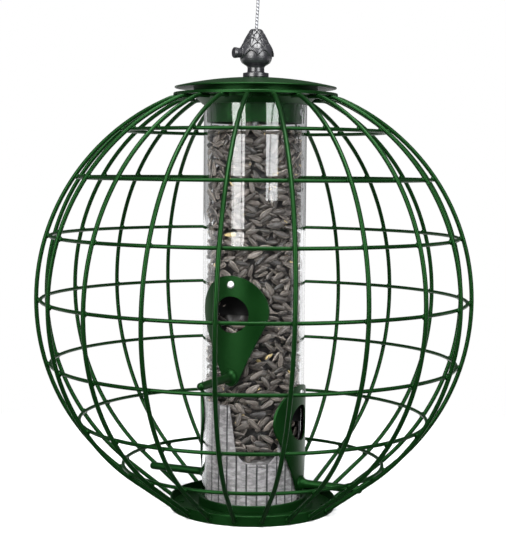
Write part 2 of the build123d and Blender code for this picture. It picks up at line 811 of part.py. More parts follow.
# Thumb screw: round knob on a shank whose tip grips the cable
with BuildPart() as thumb_screw:
    thumb_axis_height = finial_base + thumb_height
    with BuildSketch(radial_plane(thumb_azimuth, thumb_axis_height)):
        with BuildLine():
            Polyline(
                (cable_radius + thumb_tip_gap, 0),
                (cable_radius + thumb_tip_gap, thumb_shank / 4),
                (cable_radius + thumb_shank / 4, thumb_shank / 2),
                (thumb_knob_start, thumb_shank / 2),
                (thumb_knob_start, thumb_knob - thumb_taper),
                (thumb_knob_end - thumb_rim, thumb_knob),
                (thumb_knob_end - thumb_edge, thumb_knob),
                (thumb_knob_end, thumb_knob - thumb_edge),
                (thumb_knob_end, 0),
                close=True,
            )
        make_face()
    revolve(axis=radial_axis(thumb_azimuth, thumb_axis_height))
save(thumb_screw.part, "thumb_screw")


# Hanging cable: up from the stop under the bar, through lid and finial, round the loop and
# back down into the ferrule
loop_foot = ferrule_height + ferrule_length + loop_lead
loop_middle = strand_pitch / 2
stop_height = bar_height - bar_radius - stop_length
loop_low = loop_foot + loop_low_height * loop_height
loop_high = loop_foot + loop_high_height * loop_height
loop_top = loop_foot + loop_height
cable_points = [
    (0, 0, stop_height),
    (0, 0, loop_foot),
    (loop_middle - loop_low_width * loop_half_width, 0, loop_low),
    (loop_middle - loop_half_width, 0, loop_high),
    (loop_middle - loop_top_width * loop_half_width, 0, loop_top),
    (loop_middle + loop_top_width * loop_half_width, 0, loop_top),
    (loop_middle + loop_half_width, 0, loop_high),
    (loop_middle + loop_low_width * loop_half_width, 0, loop_low),
    (strand_pitch, 0, loop_foot),
    (strand_pitch, 0, ferrule_height),
]


def bend_radii(points, share=0.45):
    # each bend takes the same share of the shorter of its two runs
    radii = []
    for before, corner, after in zip(points, points[1:], points[2:]):
        arriving = Vector(corner) - Vector(before)
        leaving = Vector(after) - Vector(corner)
        half_turn = radians(arriving.get_angle(leaving)) / 2
        radii.append(share * min(arriving.length, leaving.length) / tan(half_turn))
    return radii


cable_radii = bend_radii(cable_points)
print("cable bend radii:", [round(radius, 1) for radius in cable_radii])

with BuildPart() as hanging_cable:
    with BuildLine() as route:
        FilletPolyline(*cable_points, radius=cable_radii)
    with BuildSketch(Plane(origin=route.line @ 0, z_dir=route.line % 0)):
        Circle(cable_radius)
    sweep()
save(hanging_cable.part, "hanging_cable")
cable_length = route.wires()[0].length
cable_volume = pi * cable_radius**2 * cable_length
print("cable length:", round(cable_length, 1))
print("cable volume share:", round(hanging_cable.part.volume / cable_volume, 4))


with BuildPart() as cable_stop:
    with BuildSketch(Plane.XY.offset(stop_height)):
        Circle(stop_radius)
        Circle(cable_radius, mode=Mode.SUBTRACT)
    extrude(amount=stop_length)
save(cable_stop.part, "cable_stop")


with BuildPart() as cable_ferrule:
    with BuildSketch(Plane.XY.offset(ferrule_height)):
        with Locations((loop_middle, 0)):
            SlotCenterToCenter(strand_pitch, cable_size + 2 * ferrule_wall)
        with Locations((0, 0), (strand_pitch, 0)):
            Circle(cable_radius, mode=Mode.SUBTRACT)
    extrude(amount=ferrule_length)
save(cable_ferrule.part, "cable_ferrule")
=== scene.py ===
import bpy, bmesh
from math import asin, cos, exp, hypot, pi, radians, sin, sqrt, tan
from mathutils import Matrix, Vector
from random import Random


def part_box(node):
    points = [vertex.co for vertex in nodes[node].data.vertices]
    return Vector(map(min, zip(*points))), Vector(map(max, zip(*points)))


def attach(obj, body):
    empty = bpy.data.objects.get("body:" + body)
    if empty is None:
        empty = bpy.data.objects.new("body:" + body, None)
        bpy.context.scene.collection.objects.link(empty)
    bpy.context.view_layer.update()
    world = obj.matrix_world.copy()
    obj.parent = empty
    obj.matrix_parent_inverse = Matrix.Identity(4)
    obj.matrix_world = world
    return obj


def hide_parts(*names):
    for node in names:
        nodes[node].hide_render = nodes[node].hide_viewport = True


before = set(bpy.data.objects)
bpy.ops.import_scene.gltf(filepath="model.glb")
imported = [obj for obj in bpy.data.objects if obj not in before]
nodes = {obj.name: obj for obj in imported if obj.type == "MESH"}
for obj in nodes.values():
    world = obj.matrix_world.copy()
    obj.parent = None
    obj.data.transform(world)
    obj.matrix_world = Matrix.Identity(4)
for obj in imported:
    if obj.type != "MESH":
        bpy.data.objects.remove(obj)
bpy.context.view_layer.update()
print("frame loaded,", len(nodes), "nodes")

# The whole feeder: metres, +Z up, azimuths in degrees from -Y towards +X
feeder = {
    "globeCentre": 0.1475,
    "uprightReach": 0.151,  # centre line of the uprights
    "uprightWire": 0.003,
    "uprightCount": 20,
    "uprightTurn": -1.7,
    "uprightTwist": 1.2,  # lean of each upright to the side
    "ports": [(0, 0.1397), (90, 0.0627), (180, 0.1397), (270, 0.0627)],  # azimuth and height
}

view = {
    "azimuth": 25.0,
    "distance": 0.9237,  # from the feeder's axis
    "height": 0.2408,
    "pitch": 4.963,  # degrees down
    "roll": 0.49,
    "lens": 84.9,
    "sensor": 36,
    "shiftX": -0.0019,
}


def outward(azimuth):
    turn = radians(azimuth)
    return Vector((sin(turn), -cos(turn), 0))


def onRound(azimuth, reach, height):
    return outward(azimuth) * reach + Vector((0, 0, height))


def addNode(tree, kind, dataType=None, operation=None, **sockets):
    made = tree.nodes.new(kind)
    if dataType:
        made.data_type = dataType
    if operation:
        made.operation = operation
    for name, value in sockets.items():
        made.inputs[name].default_value = value
    return made


def feed(tree, source, socket):
    # a number or colour is set on the socket, an output is linked to it
    if isinstance(source, (int, float, tuple)):
        socket.default_value = source
    else:
        tree.links.new(source, socket)


def maths(tree, operation, *sources):
    made = addNode(tree, "ShaderNodeMath", operation=operation)
    for source, socket in zip(sources, made.inputs):
        feed(tree, source, socket)
    return made.outputs[0]


def vectorMaths(tree, operation, source, other=None):
    made = addNode(tree, "ShaderNodeVectorMath", operation=operation)
    tree.links.new(source, made.inputs[0])
    if other is not None:
        made.inputs[1].default_value = other
    return made.outputs["Vector" if operation == "MULTIPLY" else "Value"]


def ramp(tree, source, low, high):
    made = addNode(tree, "ShaderNodeMapRange")
    tree.links.new(source, made.inputs["Value"])
    made.inputs["From Min"].default_value = low
    made.inputs["From Max"].default_value = high
    return made.outputs["Result"]


def mixColour(tree, factor, first, second):
    mix = addNode(tree, "ShaderNodeMix", dataType="RGBA")
    for source, number in ((factor, 0), (first, 6), (second, 7)):
        feed(tree, source, mix.inputs[number])
    return mix.outputs[2]


def mixShader(tree, factor, first, second):
    mix = addNode(tree, "ShaderNodeMixShader")
    for source, socket in zip((factor, first, second), mix.inputs):
        tree.links.new(source, socket)
    return mix.outputs[0]


def ownPlace(tree):
    return addNode(tree, "ShaderNodeTexCoord").outputs["Object"]


def noise(tree, scale, detail, place=None):
    made = addNode(tree, "ShaderNodeTexNoise", Detail=detail)
    feed(tree, scale, made.inputs["Scale"])
    tree.links.new(ownPlace(tree) if place is None else place, made.inputs["Vector"])
    return made.outputs["Fac"]


def bumped(tree, height, strength, distance, normal=None):
    made = addNode(tree, "ShaderNodeBump", Distance=distance)
    feed(tree, strength, made.inputs["Strength"])
    tree.links.new(height, made.inputs["Height"])
    if normal is not None:
        tree.links.new(normal, made.inputs["Normal"])
    return made.outputs["Normal"]


def readMark(tree, name):
    made = addNode(tree, "ShaderNodeAttribute")
    made.attribute_name = name
    return made.outputs["Fac"]


def newMaterial(name):
    material = bpy.data.materials.new(name)
    material.use_nodes = True
    tree = material.node_tree
    return material, tree, tree.nodes["Principled BSDF"]


def link(name, data):
    made = bpy.data.objects.new(name, data)
    bpy.context.scene.collection.objects.link(made)
    return made


def addCamera():
    data = bpy.data.cameras.new("camera")
    data.lens = view["lens"]
    data.sensor_width = view["sensor"]
    data.shift_x = view["shiftX"]
    camera = link("camera", data)
    place = onRound(view["azimuth"], view["distance"], view["height"])
    turn = (Matrix.Rotation(radians(view["azimuth"]), 4, "Z")
            @ Matrix.Rotation(radians(90 - view["pitch"]), 4, "X")
            @ Matrix.Rotation(radians(view["roll"]), 4, "Z"))
    camera.matrix_world = Matrix.Translation(place) @ turn
    bpy.context.scene.camera = camera


light = {
    "backdrop": (1.0, 1.0, 1.0, 1),  # what stands behind the feeder
    "sky": (0.95, 0.97, 1.0, 1),  # what lights it from all round
    "skyStrength": 0.8,
    "glossDim": 0.88,  # how much darker the room is in reflections
    "backdropEdge": 0.15,  # how far round the backdrop reaches, as a cosine
    "backdropShine": 0.45,  # how bright the backdrop is in what the tube throws back
    # azimuth from the camera, distance, height of the middle, width, height, power, colour
    "softboxes": {
        "key softbox": (-38, 1.1, 0.53, 0.66, 0.9, 17, (1.0, 0.99, 0.98)),
        "side softbox": (38, 1.1, 0.60, 0.60, 0.9, 14, (0.98, 0.99, 1.0)),
        "top softbox": (0, 0.35, 1.5, 0.9, 0.9, 34, (1.0, 1.0, 1.0)),
    },
}


def thrownBack(tree, path):
    # 1 for a ray that was reflected anywhere on its way, else 0
    turns = maths(tree, "SUBTRACT", path["Ray Depth"], path["Transmission Depth"])
    return maths(tree, "GREATER_THAN", turns, 0.5)


def isShiny(tree, path):
    return maths(tree, "MAXIMUM", path["Is Glossy Ray"], path["Is Transmission Ray"])


def addWorld():
    # seen straight through the tube the room is white; what the tube throws back is darker,
    # and comes mainly from the backdrop behind the feeder
    world = bpy.data.worlds.new("soft sky")
    world.use_nodes = True
    tree = world.node_tree
    soft = tree.nodes["Background"]
    soft.inputs["Color"].default_value = light["sky"]
    white = addNode(tree, "ShaderNodeBackground", Color=light["backdrop"], Strength=1.0)
    path = addNode(tree, "ShaderNodeLightPath").outputs
    facing = addNode(tree, "ShaderNodeTexCoord").outputs["Generated"]
    behind = vectorMaths(tree, "DOT_PRODUCT", facing, outward(view["azimuth"] + 180))
    bright = maths(tree, "MULTIPLY", light["backdropShine"],
                   maths(tree, "GREATER_THAN", behind, light["backdropEdge"]))
    straight = maths(tree, "SUBTRACT", 1.0, thrownBack(tree, path))
    through = maths(tree, "MULTIPLY", path["Is Transmission Ray"],
                    maths(tree, "MAXIMUM", straight, bright))
    seen = maths(tree, "MAXIMUM", path["Is Camera Ray"], through)
    dim = maths(tree, "SUBTRACT", 1.0,
                maths(tree, "MULTIPLY", isShiny(tree, path), light["glossDim"]))
    tree.links.new(maths(tree, "MULTIPLY", dim, light["skyStrength"]), soft.inputs["Strength"])
    tree.links.new(mixShader(tree, seen, soft.outputs[0], white.outputs[0]),
                   tree.nodes["World Output"].inputs["Surface"])
    bpy.context.scene.world = world


def addSoftbox(name, azimuth, distance, height, width, tall, power, colour):
    data = bpy.data.lights.new(name, "AREA")
    data.shape = "RECTANGLE"
    data.size, data.size_y = width, tall
    data.energy = power
    data.color = colour
    lamp = link(name, data)
    place = onRound(view["azimuth"] + azimuth, distance, height)
    aim = Vector((0, 0, feeder["globeCentre"])) - place
    turn = aim.to_track_quat("-Z", "Y").to_matrix().to_4x4()
    lamp.matrix_world = Matrix.Translation(place) @ turn


floorLook = {
    "half": 4.0,  # half its side
    "drop": 0.0004,  # how far it lies below the feeder's foot
    "colour": (0.9, 0.9, 0.9, 1),
    "speckle": 0.96,  # how much darker its specks are
    "speckleSize": 30,
    "roughness": 0.7,
    "sweep": (0.16, 0.42),  # distances over which it runs out into the white backdrop
    "dusk": 0.06,  # how bright its front part is in the tube's reflections
    "duskEdge": (0.02, 0.12),  # where the front part ends, behind the feeder's axis
}


def addFloor():
    half, low = floorLook["half"], -floorLook["drop"]
    mesh = bpy.data.meshes.new("floor")
    mesh.from_pydata([(-half, -half, low), (half, -half, low), (half, half, low),
                      (-half, half, low)], [], [(0, 1, 2, 3)])
    floor = link("floor", mesh)
    material, tree, shader = newMaterial("floor paint")
    speckle = addNode(tree, "ShaderNodeTexNoise", Scale=floorLook["speckleSize"], Detail=3)
    darker = tuple(floorLook["speckle"] * c for c in floorLook["colour"][:3]) + (1,)
    tree.links.new(mixColour(tree, speckle.outputs["Fac"], floorLook["colour"], darker),
                   shader.inputs["Base Color"])
    shader.inputs["Roughness"].default_value = floorLook["roughness"]
    place = ownPlace(tree)
    far = vectorMaths(tree, "LENGTH", place)
    back = vectorMaths(tree, "DOT_PRODUCT", place, outward(view["azimuth"] + 180))
    path = addNode(tree, "ShaderNodeLightPath").outputs
    white = addNode(tree, "ShaderNodeEmission", Color=(1, 1, 1, 1), Strength=1.0)
    dusk = addNode(tree, "ShaderNodeEmission", Color=(1, 1, 1, 1), Strength=floorLook["dusk"])
    sweep = mixShader(tree, ramp(tree, far, *floorLook["sweep"]),
                      shader.outputs[0], white.outputs[0])
    front = maths(tree, "SUBTRACT", 1.0, ramp(tree, back, *floorLook["duskEdge"]))
    hidden = maths(tree, "MULTIPLY", maths(tree, "MULTIPLY", isShiny(tree, path), front),
                   thrownBack(tree, path))
    tree.links.new(mixShader(tree, hidden, sweep, dusk.outputs[0]),
                   tree.nodes["Material Output"].inputs["Surface"])
    mesh.materials.append(material)


colourKind, floatKind, vectorKind = "NodeSocketColor", "NodeSocketFloat", "NodeSocketVector"


def newGroup(name, inputs):
    group = bpy.data.node_groups.new(name, "ShaderNodeTree")
    for label, (kind, value) in inputs.items():
        socket = group.interface.new_socket(label, in_out="INPUT", socket_type=kind)
        socket.default_value = value
    for label, kind in (("Colour", colourKind), ("Roughness", floatKind), ("Normal", vectorKind)):
        group.interface.new_socket(label, in_out="OUTPUT", socket_type=kind)
    given = group.nodes.new("NodeGroupInput").outputs
    result = group.nodes.new("NodeGroupOutput").inputs
    return group, given, result


coatSkin = {
    "driftSize": 38.0,
    "driftEdge": (0.35, 0.65),
    "speckSize": 420.0,
    "speckEdge": (0.42, 0.68),
    "upEdge": (0.35, 1.0),  # how far a face looks up before dust lies on it
    "unevenness": 0.25,
    "dustRoughness": 0.5,
    "peelDepth": 0.0002,
}


def makeCoatGroup():
    # painted or moulded skin: slow tone drift, orange peel and dust on what faces up
    group, given, result = newGroup("coat skin", {
        "Colour": (colourKind, (0.02, 0.1, 0.04, 1)),
        "Deep Colour": (colourKind, (0.01, 0.05, 0.02, 1)),
        "Dust Colour": (colourKind, (0.3, 0.3, 0.26, 1)),
        "Dust": (floatKind, 0.2),
        "Peel": (floatKind, 0.1),
        "Peel Size": (floatKind, 900.0),
        "Gloss": (floatKind, 0.3),
    })
    drift = noise(group, coatSkin["driftSize"], 3.0)
    patches = ramp(group, noise(group, coatSkin["speckSize"], 2.0), *coatSkin["speckEdge"])
    peel = noise(group, given["Peel Size"], 1.0)
    tone = mixColour(group, ramp(group, drift, *coatSkin["driftEdge"]),
                     given["Deep Colour"], given["Colour"])
    facing = addNode(group, "ShaderNodeNewGeometry")
    split = addNode(group, "ShaderNodeSeparateXYZ")
    group.links.new(facing.outputs["Normal"], split.inputs[0])
    up = ramp(group, split.outputs["Z"], *coatSkin["upEdge"])
    dust = maths(group, "MULTIPLY", maths(group, "MULTIPLY", up, patches), given["Dust"])
    uneven = maths(group, "MULTIPLY", maths(group, "SUBTRACT", drift, 0.5),
                   coatSkin["unevenness"])
    rough = maths(group, "ADD", maths(group, "ADD", given["Gloss"], uneven),
                  maths(group, "MULTIPLY", dust, coatSkin["dustRoughness"]))
    group.links.new(mixColour(group, dust, tone, given["Dust Colour"]), result["Colour"])
    group.links.new(rough, result["Roughness"])
    group.links.new(bumped(group, peel, given["Peel"], coatSkin["peelDepth"]), result["Normal"])
    return group


metalSkin = {
    "spotSize": 260.0,
    "spotEdge": (0.5, 0.7),
    "spotRoughness": 0.2,
    "scratchSize": 1500.0,
    "scratchDepth": 0.0001,
}


def makeMetalGroup():
    # bare metal: fine scratches and duller spots
    group, given, result = newGroup("bare metal", {
        "Colour": (colourKind, (0.7, 0.7, 0.72, 1)),
        "Dull Colour": (colourKind, (0.45, 0.45, 0.45, 1)),
        "Gloss": (floatKind, 0.25),
        "Scratch": (floatKind, 0.15),
    })
    dull = ramp(group, noise(group, metalSkin["spotSize"], 4.0), *metalSkin["spotEdge"])
    lines = noise(group, metalSkin["scratchSize"], 2.0)
    group.links.new(mixColour(group, dull, given["Colour"], given["Dull Colour"]),
                    result["Colour"])
    duller = maths(group, "MULTIPLY", dull, metalSkin["spotRoughness"])
    group.links.new(maths(group, "ADD", given["Gloss"], duller), result["Roughness"])
    group.links.new(bumped(group, lines, given["Scratch"], metalSkin["scratchDepth"]),
                    result["Normal"])
    return group


coatGroup = makeCoatGroup()
metalGroup = makeMetalGroup()


def skinned(name, group, look, metallic=0.0, shine=0.5, tint=(1, 1, 1, 1)):
    material, tree, shader = newMaterial(name)
    skin = tree.nodes.new("ShaderNodeGroup")
    skin.node_tree = group
    for label, value in look.items():
        skin.inputs[label].default_value = value
    tree.links.new(skin.outputs["Colour"], shader.inputs["Base Color"])
    tree.links.new(skin.outputs["Roughness"], shader.inputs["Roughness"])
    tree.links.new(skin.outputs["Normal"], shader.inputs["Normal"])
    shader.inputs["Metallic"].default_value = metallic
    shader.inputs["Specular IOR Level"].default_value = shine
    shader.inputs["Specular Tint"].default_value = tint
    return material


def partsOf(material):
    tree = material.node_tree
    skin = next(n for n in tree.nodes if n.type == "GROUP")
    return tree, tree.nodes["Principled BSDF"].inputs, skin.outputs


spinning = {
    "ringSize": 110.0,
    "wobble": 0.6,
    "strength": 0.12,
    "depth": 0.0003,
}


def makeSpunPaint(look):
    # the lid: the coat over fine rings left by spinning
    material = skinned("spun green coat", coatGroup, look, shine=0.35, tint=greenTint)
    tree, sockets, skin = partsOf(material)
    rings = addNode(tree, "ShaderNodeTexWave", Scale=spinning["ringSize"],
                    Distortion=spinning["wobble"], Detail=1.0)
    rings.wave_type = "RINGS"
    rings.rings_direction = "Z"
    tree.links.new(ownPlace(tree), rings.inputs["Vector"])
    tree.links.new(bumped(tree, rings.outputs["Fac"], spinning["strength"], spinning["depth"],
                          skin["Normal"]), sockets["Normal"])
    return material


# painted shade under the finial's scale edges: a near-black colour there, with a rougher finish
paintedGrooveShade = {
    "colour": (0.002, 0.002, 0.002, 1),
    "roughness": 0.5,
}


def makeScaledGrey(look):
    # the casting, with painted shade in the grooves under its scale edges
    material = skinned("scaled cast grey", coatGroup, look, shine=0.8)
    tree, sockets, skin = partsOf(material)
    grooveShade = readMark(tree, "grooveShade")
    duller = maths(tree, "MULTIPLY", grooveShade, paintedGrooveShade["roughness"])
    # painted shade: the colour goes near black right under each scale's edge
    tree.links.new(mixColour(tree, grooveShade, skin["Colour"], paintedGrooveShade["colour"]),
                   sockets["Base Color"])
    tree.links.new(maths(tree, "ADD", skin["Roughness"], duller), sockets["Roughness"])
    return material


insert = {
    "grooveShadeEdge": (0.00004, 0.00022),  # how far below its ribs the painted shade in a groove starts and is full
    "grooveShadeEnd": 0.0007,
    "grooveShadeColour": (0.012, 0.012, 0.013, 1),
    "grooveShadeStrength": 0.93,
    "wrinkleSize": 230.0,
    "wrinkleStretch": (1, 1, 2.6),
    "wrinkleEdge": (0.42, 0.66),
    "wornColour": (0.25, 0.238, 0.238, 1),
}


def makeInsert(look):
    # ribbed liner: painted shade in its grooves, wrinkled and dusty on its ribs
    material = skinned("grey insert", coatGroup, look)
    tree, sockets, skin = partsOf(material)
    radius = max(hypot(v.co.x, v.co.y) for v in nodes["seed_deflector"].data.vertices)
    start, full = insert["grooveShadeEdge"]
    away = vectorMaths(tree, "LENGTH", vectorMaths(tree, "MULTIPLY", ownPlace(tree), (1, 1, 0)))
    # painted shade: near black on what lies a little below the ribs' outer face
    grooveShade = maths(tree, "MULTIPLY", ramp(tree, away, radius - start, radius - full),
                   maths(tree, "GREATER_THAN", away, radius - insert["grooveShadeEnd"]))
    stretch = addNode(tree, "ShaderNodeMapping", Scale=insert["wrinkleStretch"])
    tree.links.new(ownPlace(tree), stretch.inputs["Vector"])
    wrinkle = noise(tree, insert["wrinkleSize"], 4.0, stretch.outputs[0])
    worn = mixColour(tree, ramp(tree, wrinkle, *insert["wrinkleEdge"]),
                     skin["Colour"], insert["wornColour"])
    tree.links.new(mixColour(tree, maths(tree, "MULTIPLY", grooveShade, insert["grooveShadeStrength"]),
                             worn, insert["grooveShadeColour"]), sockets["Base Color"])
    return material


tubeLook = {
    "colour": (0.985, 0.99, 1.0, 1),
    "ior": 1.45,
    "hazeSize": 55.0,
    "hazeEdge": (0.4, 0.8),
    "hazeRoughness": 0.03,
    "shadow": (0.93, 0.95, 0.95, 1),  # what its shadow lets through
}


def makeClearTube():
    # clear to shadow rays, so that the seed behind it is lit
    material, tree, shader = newMaterial("clear tube")
    haze = ramp(tree, noise(tree, tubeLook["hazeSize"], 5.0), *tubeLook["hazeEdge"])
    tree.links.new(maths(tree, "MULTIPLY", haze, tubeLook["hazeRoughness"]),
                   shader.inputs["Roughness"])
    shader.inputs["Base Color"].default_value = tubeLook["colour"]
    shader.inputs["Transmission Weight"].default_value = 1.0
    shader.inputs["IOR"].default_value = tubeLook["ior"]
    path = addNode(tree, "ShaderNodeLightPath")
    clear = addNode(tree, "ShaderNodeBsdfTransparent", Color=tubeLook["shadow"])
    tree.links.new(mixShader(tree, path.outputs["Is Shadow Ray"],
                             shader.outputs[0], clear.outputs[0]),
                   tree.nodes["Material Output"].inputs["Surface"])
    return material


hullLook = {
    "dark": ((0.008, 0.0068, 0.0062, 1), (0.085, 0.070, 0.060, 1)),  # darkest and palest hull
    "pale": ((0.12, 0.10, 0.085, 1), (0.42, 0.36, 0.30, 1)),  # its stripes
    "kernel": (0.36, 0.27, 0.12, 1),
    "roughness": 0.42,
    "grainSize": 900.0,
    "grainEdge": (0.2, 0.6),
    "grainStrength": 0.5,
    "grainDepth": 0.0002,
}


def makeSeedHull():
    material, tree, shader = newMaterial("seed hull")
    tone = readMark(tree, "hullTone")
    grain = noise(tree, hullLook["grainSize"], 3.0)
    lines = maths(tree, "MULTIPLY", readMark(tree, "hullStripe"),
                  ramp(tree, grain, *hullLook["grainEdge"]))
    husk = mixColour(tree, lines, mixColour(tree, tone, *hullLook["dark"]),
                     mixColour(tree, tone, *hullLook["pale"]))
    tree.links.new(mixColour(tree, readMark(tree, "kernel"), husk, hullLook["kernel"]),
                   shader.inputs["Base Color"])
    shader.inputs["Roughness"].default_value = hullLook["roughness"]
    tree.links.new(bumped(tree, grain, hullLook["grainStrength"], hullLook["grainDepth"]),
                   shader.inputs["Normal"])
    return material


ropeLook = {
    "pitch": (2600.0, 1500.0),  # how fast the strands pass along the height and across
    # first colour: painted shade in the hollows between strands; second: the strands' steel
    "hollowShadeAndStrand": ((0.10, 0.10, 0.11, 1), (0.40, 0.41, 0.43, 1)),
    "metallic": 0.6,
    "roughness": 0.32,
    "jacket": 0.6,
    "strandStrength": 0.6,
    "strandDepth": 0.0003,
}


def makeRope():
    # wire rope: slanting strands under a clear jacket, with painted shade in the hollows between
    # them
    material, tree, shader = newMaterial("wire rope")
    split = addNode(tree, "ShaderNodeSeparateXYZ")
    tree.links.new(ownPlace(tree), split.inputs[0])
    rise, side = ropeLook["pitch"]
    slant = maths(tree, "ADD", maths(tree, "MULTIPLY", split.outputs["Z"], rise),
                  maths(tree, "MULTIPLY", split.outputs["X"], side))
    wave = maths(tree, "MULTIPLY", maths(tree, "SINE", slant), 0.5)
    strands = maths(tree, "ADD", wave, 0.5)
    # painted shade where the strands' bump is low
    tree.links.new(mixColour(tree, strands, *ropeLook["hollowShadeAndStrand"]), shader.inputs["Base Color"])
    shader.inputs["Metallic"].default_value = ropeLook["metallic"]
    shader.inputs["Roughness"].default_value = ropeLook["roughness"]
    shader.inputs["Coat Weight"].default_value = ropeLook["jacket"]
    tree.links.new(bumped(tree, strands, ropeLook["strandStrength"], ropeLook["strandDepth"]),
                   shader.inputs["Normal"])
    return material


greenTint = (0.27, 1.0, 0.30, 1)
greenDust = (0.015, 0.028, 0.012, 1)
castLook = {"Colour": (0.018, 0.018, 0.021, 1), "Deep Colour": (0.010, 0.010, 0.012, 1),
            "Dust Colour": (0.05, 0.05, 0.055, 1), "Dust": 0.06, "Peel": 0.2,
            "Peel Size": 700.0, "Gloss": 0.29}

greenCoat = skinned("green powder coat", coatGroup, {
    "Colour": (0.0013, 0.0120, 0.0017, 1), "Deep Colour": (0.0009, 0.0090, 0.0012, 1),
    "Dust Colour": greenDust, "Dust": 0.12, "Peel": 0.25, "Gloss": 0.36,
}, shine=0.3, tint=greenTint)
greenMoulding = skinned("green moulding", coatGroup, {
    "Colour": (0.0013, 0.0115, 0.0017, 1), "Deep Colour": (0.0010, 0.0086, 0.0013, 1),
    "Dust Colour": greenDust, "Dust": 0.1, "Peel": 0.08, "Gloss": 0.42,
}, shine=0.3, tint=greenTint)
spunPaint = makeSpunPaint({
    "Colour": (0.0014, 0.0125, 0.0018, 1), "Deep Colour": (0.0011, 0.0095, 0.0014, 1),
    "Dust Colour": greenDust, "Dust": 0.1, "Peel": 0.12, "Gloss": 0.36,
})
darkHood = skinned("dark hood", coatGroup, {
    "Colour": (0.004, 0.004, 0.0045, 1), "Deep Colour": (0.0025, 0.0025, 0.0025, 1),
    "Dust Colour": (0.03, 0.03, 0.028, 1), "Dust": 0.3, "Peel": 0.2, "Gloss": 0.5,
}, shine=0.1)
greyInsert = makeInsert({
    "Colour": (0.125, 0.117, 0.117, 1), "Deep Colour": (0.088, 0.082, 0.082, 1),
    "Dust Colour": (0.09, 0.08, 0.07, 1), "Dust": 0.4, "Peel": 0.12, "Gloss": 0.45,
})
castGrey = skinned("cast grey", coatGroup, castLook, shine=0.8)
scaledGrey = makeScaledGrey(castLook)
rivetMetal = skinned("rivet aluminium", metalGroup,
                     {"Colour": (0.90, 0.90, 0.91, 1), "Gloss": 0.48}, metallic=1.0)
zincSteel = skinned("zinc steel", metalGroup,
                    {"Colour": (0.62, 0.64, 0.66, 1), "Gloss": 0.3}, metallic=1.0)
crimpMetal = skinned("crimp aluminium", metalGroup,
                     {"Colour": (0.75, 0.75, 0.77, 1), "Gloss": 0.35}, metallic=1.0)
clearTube = makeClearTube()
seedHull = makeSeedHull()
ropeSteel = makeRope()
bpy.context.scene.view_settings.view_transform = "Standard"
print("materials made")

addCamera()
addWorld()
for name, values in light["softboxes"].items():
    addSoftbox(name, *values)
addFloor()
print("camera, light and floor placed")

# Nodes that keep their shape, by the start of their names
finishes = {
    ("upright", "hoop", "port_plate", "perch_u", "perch_l", "top_ring", "base_pan"): greenCoat,
    ("port_hood",): darkHood,
    ("base_cup", "collar"): greenMoulding,
    ("lid",): spunPaint,
    ("seed_tube",): clearTube,
    ("seed_deflector",): greyInsert,
    ("port_rivets",): rivetMetal,
    ("thumb_screw",): castGrey,
    ("hanger_bar", "perch_screws", "base_screws"): zincSteel,
    ("cable_stop", "cable_ferrule"): crimpMetal,
}
for starts, material in finishes.items():
    for name in nodes:
        if name.startswith(starts):
            nodes[name].data.materials.clear()
            nodes[name].data.materials.append(material)
print("nodes finished")


def placePiece(name, mesh, material, body):
    mesh.materials.append(material)
    mesh.polygons.foreach_set("use_smooth", [True] * len(mesh.polygons))
    piece = link(name, mesh)
    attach(piece, body)
    return piece


def addPiece(name, verts, faces, material, body):
    mesh = bpy.data.meshes.new(name)
    mesh.from_pydata(verts, [], faces)
    return placePiece(name, mesh, material, body)


def ringFaces(rings, sides, closed=False):
    # quads between neighbouring rings of points, and from the last to the first when closed
    faces = []
    for ring in range(rings if closed else rings - 1):
        nextRing = (ring + 1) % rings
        for side in range(sides):
            nextSide = (side + 1) % sides
            faces.append((ring * sides + side, ring * sides + nextSide,
                          nextRing * sides + nextSide, nextRing * sides + side))
    return faces


def markPoints(piece, name, values):
    layer = piece.data.attributes.new(name, "FLOAT", "POINT")
    layer.data.foreach_set("value", values)


cable = {
    "size": 0.002,
    "length": 0.2356,
    "strandPitch": 0.0021,  # between the two strands in the ferrule
    "loopLead": 0.009,  # from the ferrule's top to the loop's first corner
    "loopHalfWidth": 0.0126,
    "loopHeight": 0.035,
    # corners of the loop as shares of its half width and height
    "loopShape": [(-0.95, 0.43), (-1, 0.76), (-0.48, 1), (0.48, 1), (1, 0.76), (0.95, 0.43)],
    "leanStart": 0.3310,  # it leans aside above the finial and comes back below the ferrule
    "leanRise": 0.010,
    "leanMiddle": 0.3552,
    "leanEnd": 0.007,
    "ferruleLead": 0.001,
    "lean": 0.0013,
    "leanShares": (0.35, 1, 0.25),  # share of the lean on the way up, in the middle and above
}


